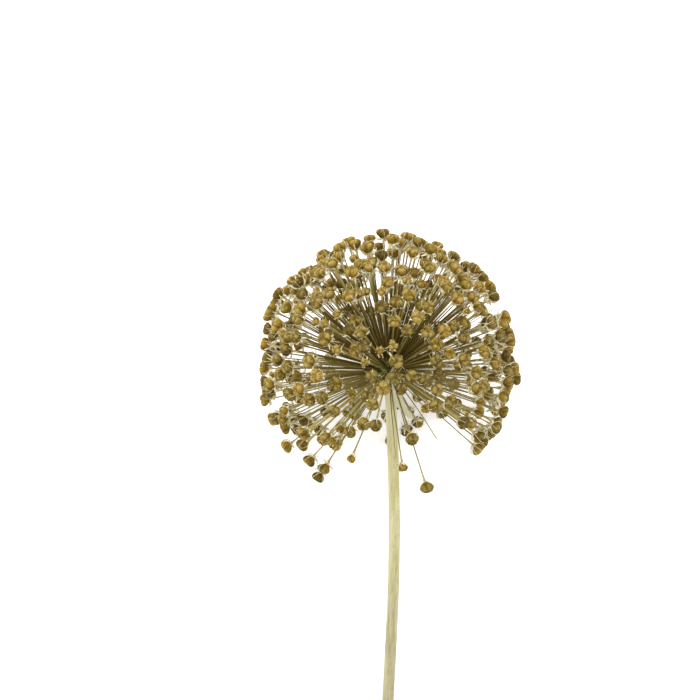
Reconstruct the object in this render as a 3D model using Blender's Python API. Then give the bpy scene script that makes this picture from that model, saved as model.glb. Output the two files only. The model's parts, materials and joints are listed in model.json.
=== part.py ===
"""A dried allium seed head on its cut stem, lying on a flat surface.

Metres, with +Z up and +Y from the cut end of the stem towards the head. The head rests on
its lowest seed capsules, and the stem slopes down to its cut end, which touches the surface.
"""

import math
import random

import bmesh
import bpy
import numpy as np
from mathutils import Matrix, Vector

# Stem (scape), from its cut end to the hub, the middle of the receptacle at its top.
SCAPE_LENGTH = 0.240
SCAPE_RADIUS = 0.0028
CUT_RADIUS = 0.0030
SCAPE_SWAY = 0.0027
SWAY_WAVE = 0.310
SCAPE_SIDES = 14
SCAPE_RINGS = 15
RING_CROWDING = 1.3
RECEPTACLE_RADIUS = 0.0047
RECEPTACLE_RINGS = 6
NECK_POLAR = math.radians(142)

# Height of the hub over the surface, with the lowest rays pressed in by the head's weight.
HUB_HEIGHT = 0.056
SLOPE = math.asin((HUB_HEIGHT - CUT_RADIUS) / SCAPE_LENGTH)
HUB = Vector((0.0, 0.0, HUB_HEIGHT))

# Umbel axes: across the stem, along it past the head, and away from the surface.
ACROSS = Vector((1.0, 0.0, 0.0))
ALONG = Vector((0.0, math.cos(SLOPE), math.sin(SLOPE)))
AWAY = ACROSS.cross(ALONG)
UMBEL = Matrix((ACROSS, ALONG, AWAY)).transposed()

# Rays (pedicels) grow in clusters, each on its own pad round the receptacle.
SEED = 6
SPIRAL_PLACES = 56
PLACE_TAKEN = 0.28
WIDEST_POLAR = math.radians(130)
CROWN_CROWDING = 0.2
PAD_FOOT = RECEPTACLE_RADIUS + 0.0003
PAD_TOP = 0.0058
PAD_RADIUS = 0.00084
PAD_SPACING = 0.40
RAY_RING = 0.56 * PAD_RADIUS
RAYS_AT_CROWN = 8
RAYS_LOWER_DOWN = 7
RAY_SPREAD = 0.140
RAY_RADIUS = 0.0003
CROWN_REACH = 0.0640
SIDE_REACH = 0.0600
CAPSULE_SPACING = 0.0073
RAY_CLEARANCE = 0.0043
STEM_CLEARANCE = 0.40
RELAXING_ROUNDS = 90

# Capsule: (height over the end of its ray, radius at a lobe, radius at a groove).
CAPSULE_BELLY = (0.0031, 0.00350, 0.00300)
CAPSULE_SHOULDER = (0.0049, 0.00250, 0.00200)
CAPSULE_DIMPLE = 0.0044

# Long low rays: where each capsule lies from the hub (across, along, away), and its size.
# A size of nothing is a bare ray that has lost its capsule.
LOW_CLUSTERS = (
    ((0.0178, -0.0570, 0.036, 1.0), (0.0063, -0.0475, 0.030, 0.75),
     (0.0030, -0.0430, 0.026, 0.0), (0.0105, -0.0330, 0.046, 1.0)),
    ((-0.0325, -0.0490, 0.013, 1.0), (-0.0355, -0.0535, 0.006, 1.0),
     (-0.0400, -0.0455, 0.004, 1.0), (-0.0515, -0.0385, -0.002, 1.0)),
    ((-0.0190, -0.0430, 0.034, 0.7), (-0.0430, -0.0370, 0.020, 1.0),
     (-0.0430, -0.0310, 0.028, 1.0), (-0.0310, -0.0330, 0.038, 1.0)),
    ((0.0355, -0.0250, 0.042, 1.0), (0.0400, -0.0265, 0.034, 0.7),
     (0.0225, -0.0330, 0.040, 0.0), (0.0290, -0.0150, 0.050, 1.0)),
)

# Spathe bracts: turn round the stem from AWAY towards ACROSS, length, width, outward flare.
BRACTS = (
    (math.radians(38), 0.0235, 0.0072, 0.56),
    (math.radians(-112), 0.020, 0.0070, 0.50),
)
BRACT_START = 0.0060
BRACT_DROP = 0.8
BRACT_GAP = 0.0006
BRACT_THICKNESS = 0.0003
BRACT_CUP = 0.14
BRACT_ROWS = 8
BRACT_COLUMNS = 4
BRACT_CLEARANCE = 0.34

# A gap between the rays that shows the first bract: its way from the hub, and its angle.
SHOWING_WAY = (0.0080, -0.0165, 0.0500)
SHOWING_ANGLE = 0.19


def clear_scene():
    for thing in list(bpy.data.objects):
        bpy.data.objects.remove(thing)


def material(name, colour, roughness):
    made = bpy.data.materials.new(name)
    made.use_nodes = True
    shader = made.node_tree.nodes["Principled BSDF"]
    shader.inputs["Base Color"].default_value = (*colour, 1.0)
    shader.inputs["Roughness"].default_value = roughness
    shader.inputs["Metallic"].default_value = 0.0
    return made


def finish(name, bm, look):
    """Make a smooth shaded object of the mesh."""
    bmesh.ops.recalc_face_normals(bm, faces=bm.faces)
    mesh = bpy.data.meshes.new(name)
    bm.to_mesh(mesh)
    bm.free()
    mesh.materials.append(look)
    mesh.shade_smooth()
    mesh.set_sharp_from_angle(angle=math.radians(60))
    made = bpy.data.objects.new(name, mesh)
    bpy.context.scene.collection.objects.link(made)
    return made


def ring(centre, axis, side, radii, count):
    """Points turning about axis, the first along side, at each of the radii in turn."""
    side = (side - axis * side.dot(axis)).normalized()
    points = []
    for k in range(count):
        turned = Matrix.Rotation(math.tau * k / count, 3, axis) @ side
        points.append(centre + turned * radii[k % len(radii)])
    return points


def begin(bm, corners, points):
    """A closed block from a first face with these corners to a second one at the points."""
    first = bm.faces.new([bm.verts.new(corner) for corner in corners])
    grown = bmesh.ops.extrude_face_region(bm, geom=[first], use_keep_orig=True)["geom"]
    second = next(part for part in grown if isinstance(part, bmesh.types.BMFace))
    for vert, point in zip(second.verts, points):
        vert.co = point
    return first, second


def extrude_to(bm, face, points):
    """Extrude a face and put the corners of its copy at the points."""
    grown = bmesh.ops.extrude_discrete_faces(bm, faces=[face])["faces"][0]
    for vert, point in zip(grown.verts, points):
        vert.co = point
    return grown


# --- Where every ray goes: directions are rows of (across, along, away) ---------------------


def unit(vectors):
    return vectors / np.linalg.norm(vectors, axis=-1, keepdims=True)


def bract_out(length, flare):
    """How far a bract's middle line lies from the stem's, at a length along the bract."""
    return SCAPE_RADIUS + BRACT_GAP + flare * length


def kept_clear():
    """Directions of the stem, the bracts and the gap, each with the angle rays keep from it."""
    clear = [((0.0, -1.0, 0.0), STEM_CLEARANCE)]
    clear.append((unit(np.array(SHOWING_WAY)), SHOWING_ANGLE))
    for turn, length, _, flare in BRACTS:
        for part in (0.45, 0.85):
            drop = BRACT_START + BRACT_DROP * part * length
            out = bract_out(part * length, flare * part)
            way = (math.sin(turn) * out, -drop, math.cos(turn) * out)
            clear.append((unit(np.array(way)), BRACT_CLEARANCE))
    return clear


def pushed_apart(ways, needed, fixed):
    """Turn directions away from each other, by half of what they lack of the needed angle,
    and away from the stem and the bracts. The first ones, fixed of them, stay."""
    cosine = np.clip(ways @ ways.T, -1.0, 1.0)
    np.fill_diagonal(cosine, -1.0)
    sine = np.sqrt(np.maximum(1.0 - cosine**2, 1e-9))
    weight = 0.5 * np.maximum(needed - np.arccos(cosine), 0.0) / sine
    shift = (weight * cosine).sum(axis=1)[:, None] * ways - weight @ ways
    for way, angle in kept_clear():
        cosine = np.clip(ways @ way, -1.0, 1.0)
        sine = np.sqrt(np.maximum(1.0 - cosine**2, 1e-9))
        weight = np.maximum(angle - np.arccos(cosine), 0.0) / sine
        shift += weight[:, None] * (cosine[:, None] * ways - way)
    shift[:fixed] = 0.0
    return unit(ways + shift)


def no_lower_than(ways, polar):
    """Lift directions that point further down the stem than polar back to it."""
    along = np.maximum(ways[:, 1:2], math.cos(polar))
    flat = unit(ways * (1.0, 0.0, 1.0)) * np.sqrt(1.0 - along**2)
    return flat + along * (0.0, 1.0, 0.0)


def pad_directions():
    """The low clusters' pads, then the rest on a golden-angle spiral from the crown down,
    which leaves out the places that the low ones take."""
    low = [unit(np.array(group)[:, :3]).sum(axis=0) for group in LOW_CLUSTERS]
    low = no_lower_than(unit(np.array(low)), WIDEST_POLAR)
    spiral = []
    for i in range(SPIRAL_PLACES):
        part = (i + 0.5) / SPIRAL_PLACES
        part *= 1.0 - CROWN_CROWDING + CROWN_CROWDING * part
        along = 1.0 - part * (1.0 - math.cos(WIDEST_POLAR))
        turn = i * math.pi * (3.0 - math.sqrt(5.0))
        out = math.sqrt(1.0 - along * along)
        way = np.array((out * math.sin(turn), along, out * math.cos(turn)))
        if (low @ way).max() < math.cos(PLACE_TAKEN):
            spiral.append(way)
    ways = np.concatenate((low, spiral))
    for _ in range(RELAXING_ROUNDS):
        ways = pushed_apart(ways, PAD_SPACING, len(low))
        ways = no_lower_than(ways, WIDEST_POLAR)
    return ways


def natural_reach(along, rng):
    """How far a ray reaches from the hub: further at the crown, and one in five is short."""
    reach = SIDE_REACH + (CROWN_REACH - SIDE_REACH) * along
    if rng.random() < 0.2:
        return reach * rng.uniform(0.74, 0.93)
    return reach * rng.gauss(1.0, 0.028)


def capsule_size(rng):
    """Most capsules are full size, a few are withered, and a few rays have lost theirs."""
    chance = rng.random()
    if chance < 0.02:
        return 0.0
    if chance < 0.10:
        return rng.uniform(0.60, 0.78)
    return rng.uniform(0.92, 1.03)


def low_rays():
    """(pad number, direction, reach, size) of the long low rays."""
    rays = []
    for number, group in enumerate(LOW_CLUSTERS):
        for *place, size in group:
            reach = math.hypot(*place) - size * CAPSULE_BELLY[0]
            rays.append((number, unit(np.array(place)), reach, size))
    return rays


def spiral_rays(pads, rng):
    """The same for the rays of the other clusters, in a loose ring round each pad."""
    rays = []
    for number in range(len(LOW_CLUSTERS), len(pads)):
        pad = Vector(pads[number])
        side = pad.orthogonal().normalized()
        start = rng.uniform(0.0, math.tau)
        stretch = rng.uniform(0.965, 1.025)
        count = RAYS_AT_CROWN if pad.y > 0.0 else RAYS_LOWER_DOWN
        for k in range(count):
            turn = start + math.tau * k / count + rng.uniform(-0.3, 0.3)
            lean = math.tan(RAY_SPREAD * rng.uniform(0.6, 1.4))
            way = unit(np.array(pad + Matrix.Rotation(turn, 3, pad) @ side * lean))
            reach = natural_reach(way[1], rng) * stretch
            rays.append((number, way, reach, capsule_size(rng)))
    return rays


def settled_rays(pads, rng):
    """All rays, turned until no capsule touches another or a longer ray beside it."""
    rays = low_rays()
    fixed = len(rays)
    rays += spiral_rays(pads, rng)
    numbers, ways, reaches, sizes = zip(*rays)
    ways, reaches = np.array(ways), np.array(reaches)
    down = np.array(UMBEL.transposed() @ Vector((0.0, 0.0, -1.0)))
    room = HUB_HEIGHT - CAPSULE_BELLY[0]
    for _ in range(RELAXING_ROUNDS):
        seated = np.minimum(reaches, room / np.maximum(ways @ down, 1e-3))
        shorter = np.minimum(seated[:, None], seated[None, :])
        apart = np.abs(seated[:, None] - seated[None, :])
        beside = np.sqrt(np.maximum(CAPSULE_SPACING**2 - apart**2, 0.0))
        ways = pushed_apart(ways, np.maximum(beside, RAY_CLEARANCE) / shorter, fixed)
    return list(zip(numbers, ways, reaches, sizes))


def lowest(axis, side, size):
    """How far a capsule's lowest point lies above the end of its ray: usually below it."""
    heights = [0.0]
    for height, lobe, groove in (CAPSULE_BELLY, CAPSULE_SHOULDER):
        for point in ring(axis * height, axis, side, (lobe, groove), 6):
            heights.append(point.z * size)
    return min(heights)


def ray_end(foot, inward, way, reach, size):
    """Where a ray ends, drawn back if its capsule would sink into the surface."""
    end = HUB + way * reach
    sunk = end.z + lowest(way, inward, size)
    if sunk < 0.0:
        end += way * (sunk / way.z) * -1.0
        end.z = -lowest((end - foot).normalized(), inward, size)
    return end


def umbel():
    """Every cluster: its pad's direction and turn, and its rays in order round the pad,
    each as (foot, end, capsule size)."""
    rng = random.Random(SEED)
    pads = pad_directions()
    rays = settled_rays(pads, rng)
    clusters = []
    for number, pad_way in enumerate(pads):
        pad_way = UMBEL @ Vector(pad_way)
        side = pad_way.orthogonal().normalized()
        across = pad_way.cross(side)
        members = []
        for pad_number, way, reach, size in rays:
            if pad_number == number:
                way = UMBEL @ Vector(way)
                turn = math.atan2(way.dot(across), way.dot(side))
                members.append((turn, way, reach, size))
        members.sort(key=lambda member: member[0])
        step = math.tau / len(members)
        start = sum(member[0] - i * step for i, member in enumerate(members)) / len(members)
        grown = []
        for i, (_, way, reach, size) in enumerate(members):
            outward = Matrix.Rotation(start + i * step, 3, pad_way) @ side
            foot = HUB + pad_way * PAD_TOP + outward * RAY_RING
            grown.append((foot, ray_end(foot, -outward, way, reach, size), size))
        clusters.append((pad_way, start, grown))
    return clusters


# --- Solids -----------------------------------------------------------------------------


def scape_point(down):
    """Point on the stem's middle line, down from the hub."""
    sway = SCAPE_SWAY * math.sin(math.tau * max(down, 0.0) / SWAY_WAVE)
    return HUB - ALONG * down + ACROSS * sway


def scape_outline():
    """(distance down from the hub, radius) from the receptacle's dome to the cut end."""
    outline = []
    for i in range(1, RECEPTACLE_RINGS + 1):
        polar = NECK_POLAR * i / RECEPTACLE_RINGS
        outline.append((-RECEPTACLE_RADIUS * math.cos(polar), RECEPTACLE_RADIUS * math.sin(polar)))
    neck = outline[-1][0]
    for i in range(1, SCAPE_RINGS + 1):
        part = i / SCAPE_RINGS
        down = neck + (SCAPE_LENGTH - neck) * part**RING_CROWDING
        outline.append((down, SCAPE_RADIUS + (CUT_RADIUS - SCAPE_RADIUS) * part))
    return outline


def build_scape(look):
    """The stem and the receptacle at its top, drawn out from the receptacle's dome."""
    bm = bmesh.new()
    rings = []
    for down, radius in scape_outline():
        axis = (scape_point(down + 0.001) - scape_point(down)).normalized()
        rings.append(ring(scape_point(down), axis, ACROSS, (radius,), SCAPE_SIDES))
    dome, face = begin(bm, rings[0], rings[1])
    for corners in rings[2:]:
        face = extrude_to(bm, face, corners)
    crown = bmesh.ops.poke(bm, faces=[dome])["verts"][0]
    crown.co = HUB + ALONG * RECEPTACLE_RADIUS
    return finish("scape", bm, look)


def in_step(points, first):
    """The points moved on, so that the first of them comes to place number first."""
    return points[-first:] + points[:-first] if first else points


def grow_ray(bm, sector, hub_vert, foot, end, size):
    """Draw a sector of the pad out into a ray, and the ray's end into a capsule."""
    axis = (end - foot).normalized()
    inward = hub_vert.co - foot
    first = list(sector.verts).index(hub_vert)
    face = extrude_to(bm, sector, in_step(ring(end, axis, inward, (RAY_RADIUS,), 3), first))
    if not size:
        return
    height, lobe, groove = (size * value for value in CAPSULE_BELLY)
    belly = ring(end + axis * height, axis, inward, (lobe, groove), 6)
    face = extrude_to(bm, face, in_step(belly[0::2], first))
    for edge in list(face.edges):
        _, added = bmesh.utils.edge_split(edge, edge.verts[0], 0.5)
        added.co = min(belly[1::2], key=lambda point: (point - added.co).length)
    height, lobe, groove = (size * value for value in CAPSULE_SHOULDER)
    shoulder = ring(end + axis * height, axis, inward, (lobe, groove), 6)
    corners = [min(shoulder, key=lambda point: (point - vert.co).length) for vert in face.verts]
    face = extrude_to(bm, face, corners)
    dimple = bmesh.ops.poke(bm, faces=[face])["verts"][0]
    dimple.co = end + axis * (CAPSULE_DIMPLE * size)


def build_cluster(name, pad_way, start, rays, look):
    """One pad on the receptacle with its rays, each swelling into its capsule."""
    bm = bmesh.new()
    count = len(rays)
    side = pad_way.orthogonal().normalized()
    corner_side = Matrix.Rotation(start - math.pi / count, 3, pad_way) @ side
    sole = ring(HUB + pad_way * PAD_FOOT, pad_way, corner_side, (PAD_RADIUS,), count)
    top = ring(HUB + pad_way * PAD_TOP, pad_way, corner_side, (PAD_RADIUS,), count)
    fan = bmesh.ops.poke(bm, faces=[begin(bm, sole, top)[1]])
    sectors = [(sector.calc_center_median(), sector) for sector in fan["faces"]]
    for foot, end, size in rays:
        sector = min(sectors, key=lambda pair: (pair[0] - foot).length)[1]
        grow_ray(bm, sector, fan["verts"][0], foot, end, size)
    return finish(name, bm, look)


def build_bract(name, turn, length, width, flare, look):
    """A thin papery bract that leaves the stem below the receptacle and curls outwards."""
    out = ACROSS * math.sin(turn) + AWAY * math.cos(turn)
    sideways = ALONG.cross(out)
    bm = bmesh.new()
    rows = []
    for i in range(BRACT_ROWS + 1):
        part = i / BRACT_ROWS
        half = 0.5 * width * math.sin(math.pi * (0.16 + 0.80 * part)) ** 0.8
        middle = scape_point(BRACT_START + BRACT_DROP * length * part)
        middle += out * bract_out(length * part, flare * part)
        row = []
        for j in range(BRACT_COLUMNS + 1):
            across = 2.0 * j / BRACT_COLUMNS - 1.0
            corner = middle + sideways * (half * across) - out * (BRACT_CUP * half * across**2)
            row.append(bm.verts.new(corner))
        rows.append(row)
    for near, far in zip(rows, rows[1:]):
        for corners in zip(near, near[1:], far[1:], far):
            bm.faces.new(corners)
    made = finish(name, bm, look)
    thick = made.modifiers.new("thickness", "SOLIDIFY")
    thick.thickness = BRACT_THICKNESS
    thick.offset = 0.0
    return made


# --- Assembly ---------------------------------------------------------------------------


def centre_on_origin(made):
    """Put the middle of the whole at the origin in plan, with its lowest point at zero."""
    points = np.array([corner for thing in made for corner in thing.bound_box])
    low, high = points.min(axis=0), points.max(axis=0)
    shift = Vector((-(low[0] + high[0]) / 2, -(low[1] + high[1]) / 2, -low[2]))
    for thing in made:
        thing.location = shift


def main():
    clear_scene()
    straw = material("straw", (0.64, 0.58, 0.33), 0.62)
    husk = material("husk", (0.27, 0.19, 0.05), 0.70)
    papery = material("papery", (0.68, 0.64, 0.42), 0.75)
    made = [build_scape(straw)]
    for number, bract in enumerate(BRACTS, 1):
        made.append(build_bract(f"spathe_bract_{number}", *bract, papery))
    for number, (pad_way, start, rays) in enumerate(umbel(), 1):
        made.append(build_cluster(f"ray_cluster_{number:02d}", pad_way, start, rays, husk))
    centre_on_origin(made)


main()
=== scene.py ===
"""A dried allium seed head on its cut stem, lying on a pale surface.

Metres, in the frame of the CAD model: +Z up, +Y from the cut end towards the head. The
layout below is the CAD model's own, so every ray ends where its solid does.
"""

import json
import math
import random

import bpy
import numpy as np
from mathutils import Matrix, Vector, noise

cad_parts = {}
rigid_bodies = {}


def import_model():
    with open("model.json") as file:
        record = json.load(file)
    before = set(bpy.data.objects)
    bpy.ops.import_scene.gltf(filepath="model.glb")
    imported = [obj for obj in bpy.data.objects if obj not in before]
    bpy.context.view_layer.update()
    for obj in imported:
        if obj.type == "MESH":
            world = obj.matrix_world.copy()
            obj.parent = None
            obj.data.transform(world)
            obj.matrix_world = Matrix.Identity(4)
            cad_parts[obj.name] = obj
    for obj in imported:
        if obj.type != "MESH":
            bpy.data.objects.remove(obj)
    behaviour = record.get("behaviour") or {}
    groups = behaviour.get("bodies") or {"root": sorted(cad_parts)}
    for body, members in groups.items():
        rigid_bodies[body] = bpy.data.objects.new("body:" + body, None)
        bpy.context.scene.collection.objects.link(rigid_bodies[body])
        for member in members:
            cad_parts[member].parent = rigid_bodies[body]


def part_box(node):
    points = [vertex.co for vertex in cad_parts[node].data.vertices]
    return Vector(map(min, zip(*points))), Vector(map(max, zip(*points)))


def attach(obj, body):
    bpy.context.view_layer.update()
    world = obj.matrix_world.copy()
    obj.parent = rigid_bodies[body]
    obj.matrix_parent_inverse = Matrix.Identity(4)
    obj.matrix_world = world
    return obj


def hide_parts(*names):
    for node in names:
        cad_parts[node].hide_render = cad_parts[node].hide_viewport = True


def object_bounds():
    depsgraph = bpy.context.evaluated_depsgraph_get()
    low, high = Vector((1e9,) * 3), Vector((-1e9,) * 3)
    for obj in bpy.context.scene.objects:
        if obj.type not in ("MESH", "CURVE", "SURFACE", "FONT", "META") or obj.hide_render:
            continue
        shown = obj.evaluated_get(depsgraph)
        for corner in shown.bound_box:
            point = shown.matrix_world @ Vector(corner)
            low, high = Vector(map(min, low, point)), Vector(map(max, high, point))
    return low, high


# --- The umbel's layout ---

# Stem (scape), from its cut end to the hub, the middle of the receptacle at its top.
SCAPE_LENGTH = 0.240
SCAPE_RADIUS = 0.0028
CUT_RADIUS = 0.0030
SCAPE_SWAY = 0.0027
SWAY_WAVE = 0.310
SCAPE_SIDES = 14
SCAPE_RINGS = 15
RING_CROWDING = 1.3
RECEPTACLE_RADIUS = 0.0047
RECEPTACLE_RINGS = 6
NECK_POLAR = math.radians(142)

HUB_HEIGHT = 0.056
SLOPE = math.asin((HUB_HEIGHT - CUT_RADIUS) / SCAPE_LENGTH)
HUB = Vector((0.0, 0.0, HUB_HEIGHT))

# Umbel axes: across the stem, along it past the head, and away from the surface.
ACROSS = Vector((1.0, 0.0, 0.0))
ALONG = Vector((0.0, math.cos(SLOPE), math.sin(SLOPE)))
AWAY = ACROSS.cross(ALONG)
UMBEL = Matrix((ACROSS, ALONG, AWAY)).transposed()

# Rays (pedicels) grow in clusters, each on its own pad round the receptacle.
SEED = 6
SPIRAL_PLACES = 56
PLACE_TAKEN = 0.28
WIDEST_POLAR = math.radians(130)
CROWN_CROWDING = 0.2
PAD_TOP = 0.0058
PAD_RADIUS = 0.00084
PAD_SPACING = 0.40
RAY_RING = 0.56 * PAD_RADIUS
RAYS_AT_CROWN = 8
RAYS_LOWER_DOWN = 7
RAY_SPREAD = 0.140
CROWN_REACH = 0.0640
SIDE_REACH = 0.0600
CAPSULE_SPACING = 0.0073
RAY_CLEARANCE = 0.0043
STEM_CLEARANCE = 0.40
RELAXING_ROUNDS = 90

# How rays differ: shares of them, factors on their usual reach and lean, a turn either way, and
# their capsules' sizes beside a full one.
SHORT_RAYS = 0.2
SHORT_REACH = (0.74, 0.93)
REACH_SPREAD = 0.028
CLUSTER_STRETCH = (0.965, 1.025)
LEAN_RANGE = (0.6, 1.4)
TURN_SPREAD = 0.3
LOST_CAPSULES = 0.02
SMALL_CAPSULES = 0.08
SMALL_SIZE = (0.60, 0.78)
FULL_SIZE = (0.92, 1.03)

# Capsule: (height over the end of its ray, radius at a lobe, radius at a groove).
CAPSULE_BELLY = (0.0031, 0.00350, 0.00300)
CAPSULE_SHOULDER = (0.0049, 0.00250, 0.00200)

# Long low rays: where each capsule lies from the hub (across, along, away), and its size.
# A size of nothing is a bare ray that has lost its capsule.
LOW_CLUSTERS = (
    ((0.0178, -0.0570, 0.036, 1.0), (0.0063, -0.0475, 0.030, 0.75),
     (0.0030, -0.0430, 0.026, 0.0), (0.0105, -0.0330, 0.046, 1.0)),
    ((-0.0325, -0.0490, 0.013, 1.0), (-0.0355, -0.0535, 0.006, 1.0),
     (-0.0400, -0.0455, 0.004, 1.0), (-0.0515, -0.0385, -0.002, 1.0)),
    ((-0.0190, -0.0430, 0.034, 0.7), (-0.0430, -0.0370, 0.020, 1.0),
     (-0.0430, -0.0310, 0.028, 1.0), (-0.0310, -0.0330, 0.038, 1.0)),
    ((0.0355, -0.0250, 0.042, 1.0), (0.0400, -0.0265, 0.034, 0.7),
     (0.0225, -0.0330, 0.040, 0.0), (0.0290, -0.0150, 0.050, 1.0)),
)

# Spathe bracts: turn round the stem from AWAY towards ACROSS, length, width, outward flare.
BRACTS = (
    (math.radians(38), 0.0235, 0.0072, 0.56),
    (math.radians(-112), 0.020, 0.0070, 0.50),
)
BRACT_START = 0.0060
BRACT_DROP = 0.8
BRACT_GAP = 0.0006
BRACT_CUP = 0.14
BRACT_CLEARANCE = 0.34
# Shares of a bract's length at whose places the rays keep clear of it.
BRACT_GUARDS = (0.45, 0.85)

# A gap between the rays that shows the first bract: its way from the hub, and its angle.
SHOWING_WAY = (0.0080, -0.0165, 0.0500)
SHOWING_ANGLE = 0.19


def ring(centre, axis, side, radii, count):
    """Points turning about axis, the first along side, at each of the radii in turn."""
    side = (side - axis * side.dot(axis)).normalized()
    points = []
    for k in range(count):
        turned = Matrix.Rotation(math.tau * k / count, 3, axis) @ side
        points.append(centre + turned * radii[k % len(radii)])
    return points


def unit(vectors):
    """The vectors, each made one long."""
    return vectors / np.linalg.norm(vectors, axis=-1, keepdims=True)


def bract_out(length, flare):
    """How far a bract's middle line lies from the stem's, at a length along the bract."""
    return SCAPE_RADIUS + BRACT_GAP + flare * length


def kept_clear():
    """Directions of the stem, the bracts and the gap, each with the angle rays keep from it."""
    clear = [((0.0, -1.0, 0.0), STEM_CLEARANCE)]
    clear.append((unit(np.array(SHOWING_WAY)), SHOWING_ANGLE))
    for turn, length, _, flare in BRACTS:
        for part in BRACT_GUARDS:
            drop = BRACT_START + BRACT_DROP * part * length
            out = bract_out(part * length, flare * part)
            way = (math.sin(turn) * out, -drop, math.cos(turn) * out)
            clear.append((unit(np.array(way)), BRACT_CLEARANCE))
    return clear


def pushed_apart(ways, needed, fixed):
    """Turn directions away from each other, by half of what they lack of the needed angle,
    and away from the stem and the bracts. The first ones, fixed of them, stay."""
    cosine = np.clip(ways @ ways.T, -1.0, 1.0)
    np.fill_diagonal(cosine, -1.0)
    sine = np.sqrt(np.maximum(1.0 - cosine**2, 1e-9))
    weight = 0.5 * np.maximum(needed - np.arccos(cosine), 0.0) / sine
    shift = (weight * cosine).sum(axis=1)[:, None] * ways - weight @ ways
    for way, angle in kept_clear():
        cosine = np.clip(ways @ way, -1.0, 1.0)
        sine = np.sqrt(np.maximum(1.0 - cosine**2, 1e-9))
        weight = np.maximum(angle - np.arccos(cosine), 0.0) / sine
        shift += weight[:, None] * (cosine[:, None] * ways - way)
    shift[:fixed] = 0.0
    return unit(ways + shift)


def no_lower_than(ways, polar):
    """Lift directions that point further down the stem than polar back to it."""
    along = np.maximum(ways[:, 1:2], math.cos(polar))
    flat = unit(ways * (1.0, 0.0, 1.0)) * np.sqrt(1.0 - along**2)
    return flat + along * (0.0, 1.0, 0.0)


def pad_directions():
    """The low clusters' pads, then the rest on a golden-angle spiral from the crown down,
    which leaves out the places that the low ones take."""
    low = [unit(np.array(group)[:, :3]).sum(axis=0) for group in LOW_CLUSTERS]
    low = no_lower_than(unit(np.array(low)), WIDEST_POLAR)
    spiral = []
    for i in range(SPIRAL_PLACES):
        part = (i + 0.5) / SPIRAL_PLACES
        part *= 1.0 - CROWN_CROWDING + CROWN_CROWDING * part
        along = 1.0 - part * (1.0 - math.cos(WIDEST_POLAR))
        turn = i * math.pi * (3.0 - math.sqrt(5.0))
        out = math.sqrt(1.0 - along * along)
        way = np.array((out * math.sin(turn), along, out * math.cos(turn)))
        if (low @ way).max() < math.cos(PLACE_TAKEN):
            spiral.append(way)
    ways = np.concatenate((low, spiral))
    for _ in range(RELAXING_ROUNDS):
        ways = pushed_apart(ways, PAD_SPACING, len(low))
        ways = no_lower_than(ways, WIDEST_POLAR)
    return ways


def natural_reach(along, rng):
    """How far a ray reaches from the hub: further at the crown, and one in five is short."""
    reach = SIDE_REACH + (CROWN_REACH - SIDE_REACH) * along
    if rng.random() < SHORT_RAYS:
        return reach * rng.uniform(*SHORT_REACH)
    return reach * rng.gauss(1.0, REACH_SPREAD)


def capsule_size(rng):
    """Most capsules are full size, a few are withered, and a few rays have lost theirs."""
    chance = rng.random()
    if chance < LOST_CAPSULES:
        return 0.0
    if chance < LOST_CAPSULES + SMALL_CAPSULES:
        return rng.uniform(*SMALL_SIZE)
    return rng.uniform(*FULL_SIZE)


def low_rays():
    """(pad number, direction, reach, size) of the long low rays."""
    rays = []
    for number, group in enumerate(LOW_CLUSTERS):
        for *place, size in group:
            reach = math.hypot(*place) - size * CAPSULE_BELLY[0]
            rays.append((number, unit(np.array(place)), reach, size))
    return rays


def spiral_rays(pads, rng):
    """The same for the rays of the other clusters, in a loose ring round each pad."""
    rays = []
    for number in range(len(LOW_CLUSTERS), len(pads)):
        pad = Vector(pads[number])
        side = pad.orthogonal().normalized()
        start = rng.uniform(0.0, math.tau)
        stretch = rng.uniform(*CLUSTER_STRETCH)
        count = RAYS_AT_CROWN if pad.y > 0.0 else RAYS_LOWER_DOWN
        for k in range(count):
            turn = start + math.tau * k / count + rng.uniform(-TURN_SPREAD, TURN_SPREAD)
            lean = math.tan(RAY_SPREAD * rng.uniform(*LEAN_RANGE))
            way = unit(np.array(pad + Matrix.Rotation(turn, 3, pad) @ side * lean))
            reach = natural_reach(way[1], rng) * stretch
            rays.append((number, way, reach, capsule_size(rng)))
    return rays


def settled_rays(pads, rng):
    """All rays, turned until no capsule touches another or a longer ray beside it."""
    rays = low_rays()
    fixed = len(rays)
    rays += spiral_rays(pads, rng)
    numbers, ways, reaches, sizes = zip(*rays)
    ways, reaches = np.array(ways), np.array(reaches)
    down = np.array(UMBEL.transposed() @ Vector((0.0, 0.0, -1.0)))
    room = HUB_HEIGHT - CAPSULE_BELLY[0]
    for _ in range(RELAXING_ROUNDS):
        seated = np.minimum(reaches, room / np.maximum(ways @ down, 1e-3))
        shorter = np.minimum(seated[:, None], seated[None, :])
        apart = np.abs(seated[:, None] - seated[None, :])
        beside = np.sqrt(np.maximum(CAPSULE_SPACING**2 - apart**2, 0.0))
        ways = pushed_apart(ways, np.maximum(beside, RAY_CLEARANCE) / shorter, fixed)
    return list(zip(numbers, ways, reaches, sizes))


def lowest(axis, side, size):
    """How far a capsule's lowest point lies above the end of its ray: usually below it."""
    heights = [0.0]
    for height, lobe, groove in (CAPSULE_BELLY, CAPSULE_SHOULDER):
        for point in ring(axis * height, axis, side, (lobe, groove), 6):
            heights.append(point.z * size)
    return min(heights)


def ray_end(foot, inward, way, reach, size):
    """Where a ray ends, drawn back if its capsule would sink into the surface."""
    end = HUB + way * reach
    sunk = end.z + lowest(way, inward, size)
    if sunk < 0.0:
        end -= way * (sunk / way.z)
        end.z = -lowest((end - foot).normalized(), inward, size)
    return end


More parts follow.
